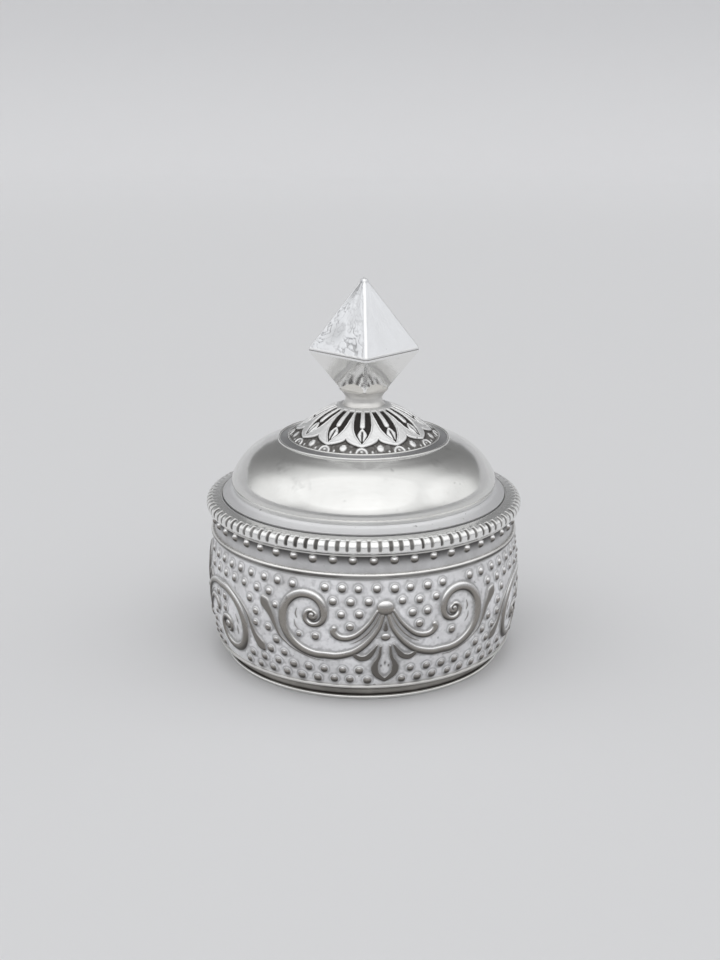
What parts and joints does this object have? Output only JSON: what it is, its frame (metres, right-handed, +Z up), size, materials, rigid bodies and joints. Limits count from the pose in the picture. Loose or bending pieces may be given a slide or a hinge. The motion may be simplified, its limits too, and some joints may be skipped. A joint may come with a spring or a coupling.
{
  "type": "sindoor box",
  "caption": "Small round box for sindoor powder with an embossed wall, a domed lift-off lid, a leaf rosette and a double-pyramid knob.",
  "frame": {"origin": "centre of the foot ring, on the surface the box stands on", "axes": "+Z up along the axis of the box, through the tip of the knob; -Y is the side the picture shows"},
  "size_m": [0.052, 0.052, 0.0619],
  "materials": {
    "embossed_silver": "embossed matte silver, darker between the raised motifs",
    "foot_silver": "tarnished satin silver",
    "plain_silver": "satin silver",
    "matte_silver": "white matte silver",
    "oxidised_silver": "matte silver with dark oxidised recesses",
    "polished_wire": "polished silver",
    "polished_dome": "polished silver with fine wear scratches",
    "knob_silver": "polished silver sheet, slightly crumpled"
  },
  "bodies": {
    "box": {"foot_wire": "polished_wire", "foot_ring": "foot_silver", "base_plate": "plain_silver", "body_shell": "embossed_silver", "girdle_wire": "polished_wire", "bead_band": "embossed_silver", "mouth_rim": "plain_silver", "mouth_bezel": "plain_silver"},
    "lid": {"lid_rim": "polished_wire", "lid_flange": "matte_silver", "lid_dome": "polished_dome", "rosette_band": "plain_silver", "outer_ring_wire": "polished_wire", "inner_ring_wire": "polished_wire", "leaf_rosette": "oxidised_silver", "neck": "plain_silver", "lower_pyramid": "knob_silver", "upper_pyramid": "knob_silver", "pin_washer": "plain_silver", "knob_pin": "plain_silver"}
  },
  "joints": [
    {"name": "lid_lift", "type": "slide", "parent": "box", "child": "lid", "axis": [0, 0, 1], "range_m": [0, 0.04]}
  ]
}
